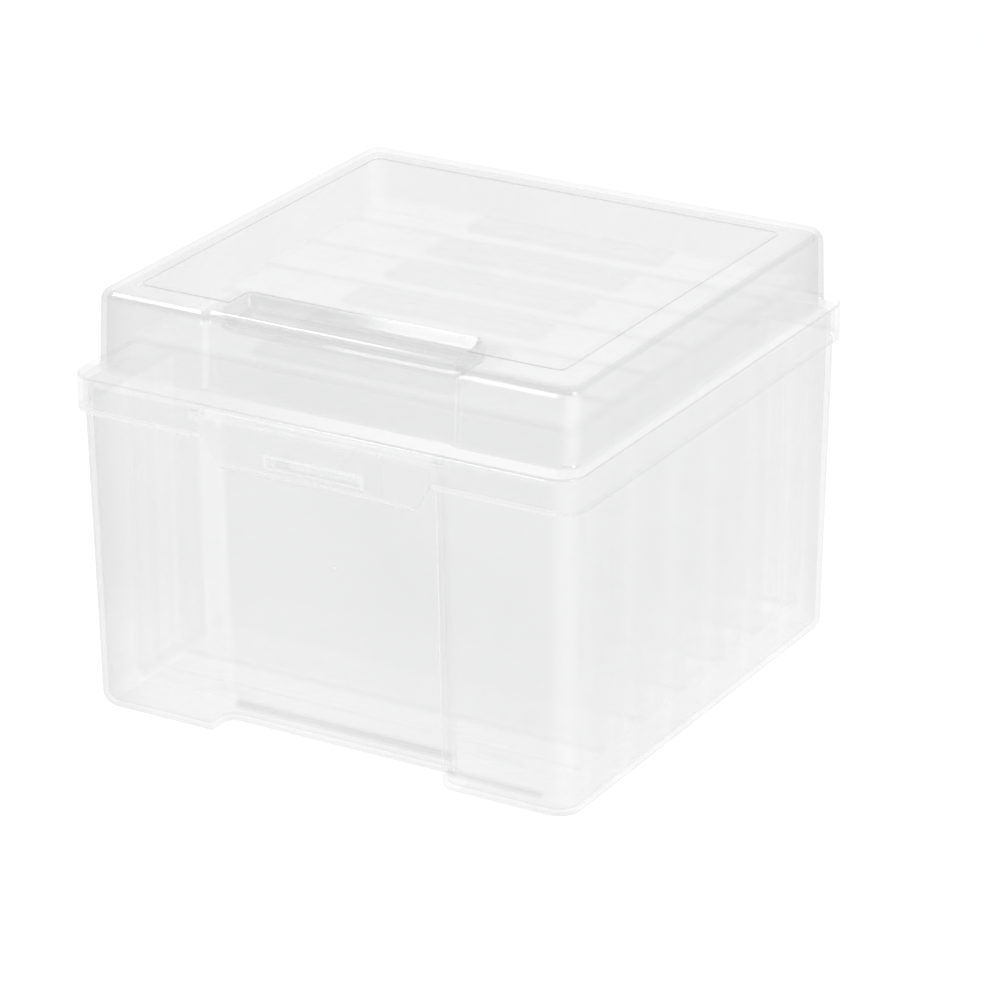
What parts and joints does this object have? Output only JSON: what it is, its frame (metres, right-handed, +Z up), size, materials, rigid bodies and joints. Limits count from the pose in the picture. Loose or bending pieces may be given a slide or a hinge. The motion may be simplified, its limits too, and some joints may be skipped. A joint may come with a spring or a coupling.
{
  "type": "photo keeper case",
  "caption": "Clear storage box with a hinged lid and a front latch flap, holding a row of upright latching photo cases for prints.",
  "frame": {"origin": "centre of the overall box at the underside of the tub, where it stands", "axes": "+X to the right seen from the latch side, +Y from the latch to the back hinge, +Z up"},
  "size_m": [0.2144, 0.2192, 0.1666],
  "materials": {
    "tub_plastic": "clear moulded polypropylene, slightly hazy",
    "lid_plastic": "clear moulded polypropylene, polished",
    "latch_plastic": "clear moulded polypropylene, polished",
    "case_plastic": "clear moulded polypropylene, thin walled and hazy"
  },
  "bodies": {
    "base": {"base": "tub_plastic"},
    "lid": {"lid": "lid_plastic"},
    "latch": {"latch": "latch_plastic"},
    "photo_case_1": {"photo_case_1_tray": "case_plastic", "photo_case_1_cover": "case_plastic"},
    "photo_case_2": {"photo_case_2_tray": "case_plastic", "photo_case_2_cover": "case_plastic"},
    "photo_case_3": {"photo_case_3_tray": "case_plastic", "photo_case_3_cover": "case_plastic"},
    "photo_case_4": {"photo_case_4_tray": "case_plastic", "photo_case_4_cover": "case_plastic"},
    "photo_case_5": {"photo_case_5_tray": "case_plastic", "photo_case_5_cover": "case_plastic"},
    "photo_case_6": {"photo_case_6_tray": "case_plastic", "photo_case_6_cover": "case_plastic"}
  },
  "joints": [
    {"name": "lid_hinge", "type": "hinge", "parent": "base", "child": "lid", "pos_m": [0, 0.1067, 0.1183], "axis": [-1, 0, 0], "range_deg": [0, 110]},
    {"name": "latch_hinge", "type": "hinge", "parent": "lid", "child": "latch", "pos_m": [0, -0.1066, 0.1305], "axis": [-1, 0, 0], "range_deg": [0, 75]},
    {"name": "photo_case_1_lift", "type": "slide", "parent": "base", "child": "photo_case_1", "axis": [0, 0, 1], "range_m": [0, 0.006]},
    {"name": "photo_case_2_lift", "type": "slide", "parent": "base", "child": "photo_case_2", "axis": [0, 0, 1], "range_m": [0, 0.012]},
    {"name": "photo_case_3_lift", "type": "slide", "parent": "base", "child": "photo_case_3", "axis": [0, 0, 1], "range_m": [0, 0.012]},
    {"name": "photo_case_4_lift", "type": "slide", "parent": "base", "child": "photo_case_4", "axis": [0, 0, 1], "range_m": [0, 0.012]},
    {"name": "photo_case_5_lift", "type": "slide", "parent": "base", "child": "photo_case_5", "axis": [0, 0, 1], "range_m": [0, 0.012]},
    {"name": "photo_case_6_lift", "type": "slide", "parent": "base", "child": "photo_case_6", "axis": [0, 0, 1], "range_m": [0, 0.012]}
  ]
}
